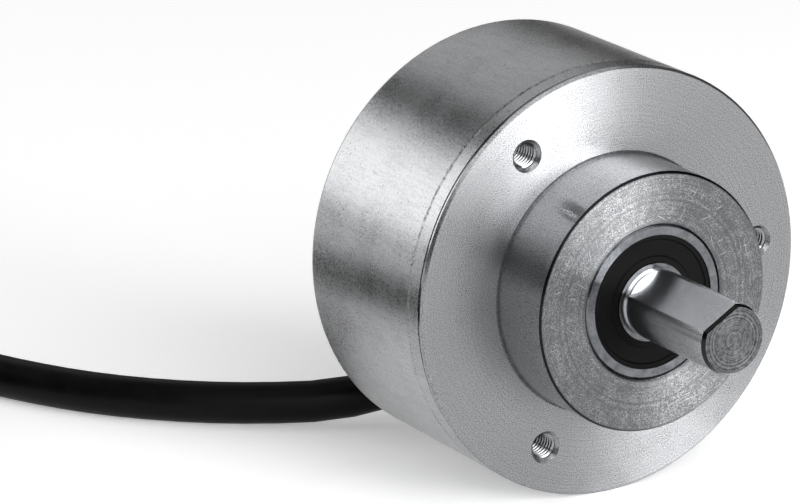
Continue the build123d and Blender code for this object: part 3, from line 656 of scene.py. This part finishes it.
last_run = (Vector(lead_points[-1]) - Vector(lead_points[-2])).normalized()
coil_centre = Vector(lead_points[-1]) + Vector((-last_run.y, last_run.x, 0)) * coil_radius
arrive_angle = atan2(-last_run.x, last_run.y)
laps = (coil_leave_angle - arrive_angle) / (2 * pi) + 5


def coil_point(lap):
    """A point of the coil's centreline, this many laps after the cable arrives."""
    if lap <= coil_low_laps:
        radius = coil_radius + (coil_inner_radius - coil_radius) * lap / coil_low_laps
        height = on_table
    elif lap <= coil_low_laps + coil_climb_laps:
        climbed = (lap - coil_low_laps) / coil_climb_laps
        radius = coil_inner_radius - coil_climb_tuck * sin(pi * climbed)
        radius += (coil_upper_inner_radius - coil_inner_radius) * climbed ** 3
        height = on_table + (coil_upper - on_table) * (3 - 2 * climbed) * climbed ** 2
    else:
        done = (lap - coil_low_laps - coil_climb_laps) / (laps - coil_low_laps - coil_climb_laps)
        radius = coil_upper_inner_radius + (coil_leave_radius - coil_upper_inner_radius) * done
        height = coil_upper
    angle = arrive_angle + 2 * pi * lap
    control_radius = radius / cos(pi / coil_points_per_lap)
    return (
        coil_centre.x + control_radius * cos(angle),
        coil_centre.y + control_radius * sin(angle),
        height,
    )


step_count = int(laps * coil_points_per_lap)
route = lead_points + [coil_point(laps * step / step_count) for step in range(1, step_count + 1)]
tail_way = Vector((-sin(coil_leave_angle), cos(coil_leave_angle), 0))
leave = coil_centre + Vector((cos(coil_leave_angle), sin(coil_leave_angle), 0)) * coil_leave_radius
leave.z = coil_upper
plug_start = leave + tail_way * plug_gap_to_coil
for share in tail_shares:
    route.append(tuple(leave + tail_way * plug_gap_to_coil * share))
route.append(tuple(plug_start + tail_way * tail_inside_plug))

cable_curve = bpy.data.curves.new("cable", "CURVE")
cable_curve.dimensions = "3D"
spline = cable_curve.splines.new("NURBS")
spline.points.add(len(route) - 1)
for point, place in zip(spline.points, route):
    point.co = (*(Vector(place) * MM), 1)
spline.order_u = 3
spline.use_endpoint_u = True
spline.resolution_u = 4
cable_curve.bevel_depth = cable_diameter / 2
cable_curve.bevel_resolution = 7
cable_curve.use_fill_caps = True
cable_curve.materials.append(jacket)
cable = bpy.data.objects.new("cable", cable_curve)
bpy.context.scene.collection.objects.link(cable)
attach(cable, "root")
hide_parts("cable_lead", "cable_coil", "cable_tail")
dress(nickel_plated_brass(plug_start * MM, tail_way), "plug_coupling_screw")


def join_rows(builder, row, next_row, closed=False):
    """Faces between two rows of vertices, and round to their start where they are closed."""
    for i in range(len(row) if closed else len(row) - 1):
        j = (i + 1) % len(row)
        builder.faces.new((row[i], row[j], next_row[j], next_row[i]))


# Threads of the three mounting holes: one ridge that winds into each hole
hole_circle_radius = 20.0
first_hole = 4.6
hole_angles = [radians(first_hole + 120 * turn) for turn in range(3)]
thread_pitch = 0.5
thread_first, thread_last = 0.55, 5.9
thread_root_radius = 1.53
thread_crest_radius = 1.27
thread_half_width = 0.15
crest_share = 0.15
steps_per_turn = 36
thread_steps = int((thread_last - thread_first) / thread_pitch * steps_per_turn)

threads = bmesh.new()
for hole_angle in hole_angles:
    centre = Vector((cos(hole_angle), 0, sin(hole_angle))) * hole_circle_radius
    last_rung = None
    for step in range(thread_steps + 1):
        turn = 2 * pi * step / steps_per_turn
        outward = Vector((sin(turn), 0, cos(turn)))
        depth = Vector((0, thread_first + thread_pitch * step / steps_per_turn, 0))
        half = Vector((0, thread_half_width, 0))
        rung = [
            threads.verts.new((centre + outward * radius + depth + shift) * MM)
            for radius, shift in (
                (thread_root_radius, -half),
                (thread_crest_radius, -half * crest_share),
                (thread_crest_radius, half * crest_share),
                (thread_root_radius, half),
            )
        ]
        if last_rung:
            join_rows(threads, last_rung, rung)
        last_rung = rung
piece("mounting_threads", threads, cut_thread_aluminium(), "root", smooth=False)


# Outlet screws: pan heads with a hexagon socket, where the plain CAD screws are
screw_place, screw_spread = 4.6, 2.4
head_sides = 48
head_angles = [2 * pi * corner / head_sides for corner in range(head_sides)]
socket_half = 0.8

# A head's rings from foot to socket floor: depth behind the flange's face, then the radius or,
# in the socket, how much wider than the hexagon
round_rings = [(27.1, 1.79), (27.85, 1.79), (28.1, 1.7), (28.24, 1.5), (28.29, 1.25)]
socket_rings = [(28.29, 0.06), (28.24, 0.0), (27.4, 0.0)]


def socket_radius(angle):
    """The distance from a hexagon's centre to its side, at an angle."""
    return socket_half / cos((angle + pi / 6) % (pi / 3) - pi / 6)


head_rings = [(depth, [radius] * head_sides) for depth, radius in round_rings]
head_rings += [(depth, [socket_radius(a) + wider for a in head_angles]) for depth, wider in socket_rings]
heads = bmesh.new()
for side in (-1, 1):
    middle = outlet_centre + outlet_along * screw_place + outlet_up * screw_spread * side
    last_ring = None
    for depth, radii in head_rings:
        ring = []
        for angle, radius in zip(head_angles, radii):
            out = Vector((cos(angle), 0, sin(angle))) * radius
            ring.append(heads.verts.new((middle + out + Vector((0, depth, 0))) * MM))
        if last_ring:
            join_rows(heads, last_ring, ring, closed=True)
        last_ring = ring
    heads.faces.new(last_ring)
screw_heads = piece("outlet_screw_heads", heads, screw_metal, "root", smooth=False)
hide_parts("outlet_screws")


# Table, backdrop light and lamps
floor_half = 2.0
table_lift = 0.32
floor_builder = bmesh.new()
floor_corners = ((-1, -1), (1, -1), (1, 1), (-1, 1))
floor_builder.faces.new([
    floor_builder.verts.new((x * floor_half, y * floor_half, table_height)) for x, y in floor_corners
])
floor_mesh = bpy.data.meshes.new("table_top")
floor_builder.to_mesh(floor_mesh)
floor_builder.free()
floor = bpy.data.objects.new("table_top", floor_mesh)
bpy.context.scene.collection.objects.link(floor)


def pale_table():
    """Table: plain matte white that keeps the object's shadow, a little lifted where it is seen."""
    material, tree, shader = start("pale_table", "#f3f3f3", 0.0, 0.85, Specular_IOR_Level=0.2)
    shader.inputs["Emission Color"].default_value = linear("#ffffff")
    path = put(tree, "ShaderNodeLightPath").outputs
    seen = calculate(tree, "MAXIMUM", path["Is Camera Ray"], path["Is Glossy Ray"])
    seen = calculate(tree, "MAXIMUM", seen, path["Is Transmission Ray"])
    tree.links.new(times(tree, seen, table_lift), shader.inputs["Emission Strength"])
    return material


floor_mesh.materials.append(pale_table())

world = bpy.data.worlds.new("studio")
world.use_nodes = True
sky = world.node_tree.nodes["Background"]
sky.inputs["Color"].default_value = linear("#525252")
sky.inputs["Strength"].default_value = 1.0
bpy.context.scene.world = world


def soft_box(name, place, aim, width, height, radiance):
    """A rectangular lamp aimed at a point, given by how bright its face looks."""
    lamp_data = bpy.data.lights.new(name, "AREA")
    lamp_data.shape = "RECTANGLE"
    lamp_data.size = width
    lamp_data.size_y = height
    lamp_data.energy = radiance * pi * width * height
    lamp = bpy.data.objects.new(name, lamp_data)
    lamp.location = place
    lamp.rotation_euler = (Vector(aim) - Vector(place)).to_track_quat("-Z", "Y").to_euler()
    lamp.visible_camera = False
    bpy.context.scene.collection.objects.link(lamp)


# The band and back lamps light the cover, the top lamp what faces up, the front lamp the collar's
# side, and the fan lamp, low in front, the highlight that fans out over the flange
soft_box("band_light", (-0.36, 0.58, 0.2), (0, 0, 0), 0.5, 0.32, 2.4)
soft_box("back_light", (0.2, 0.6, 0.42), (0, 0, 0), 0.5, 0.35, 0.7)
soft_box("top_light", (0.1, -0.25, 0.8), (0, 0, 0), 0.8, 0.8, 1.0)
soft_box("front_light", (0.0, -0.7, 0.38), (0, 0, 0), 0.95, 0.5, 5.2)
soft_box("fan_light", (0.26, -0.68, 0.08), (0, 0, 0), 0.21, 0.18, 31.0)
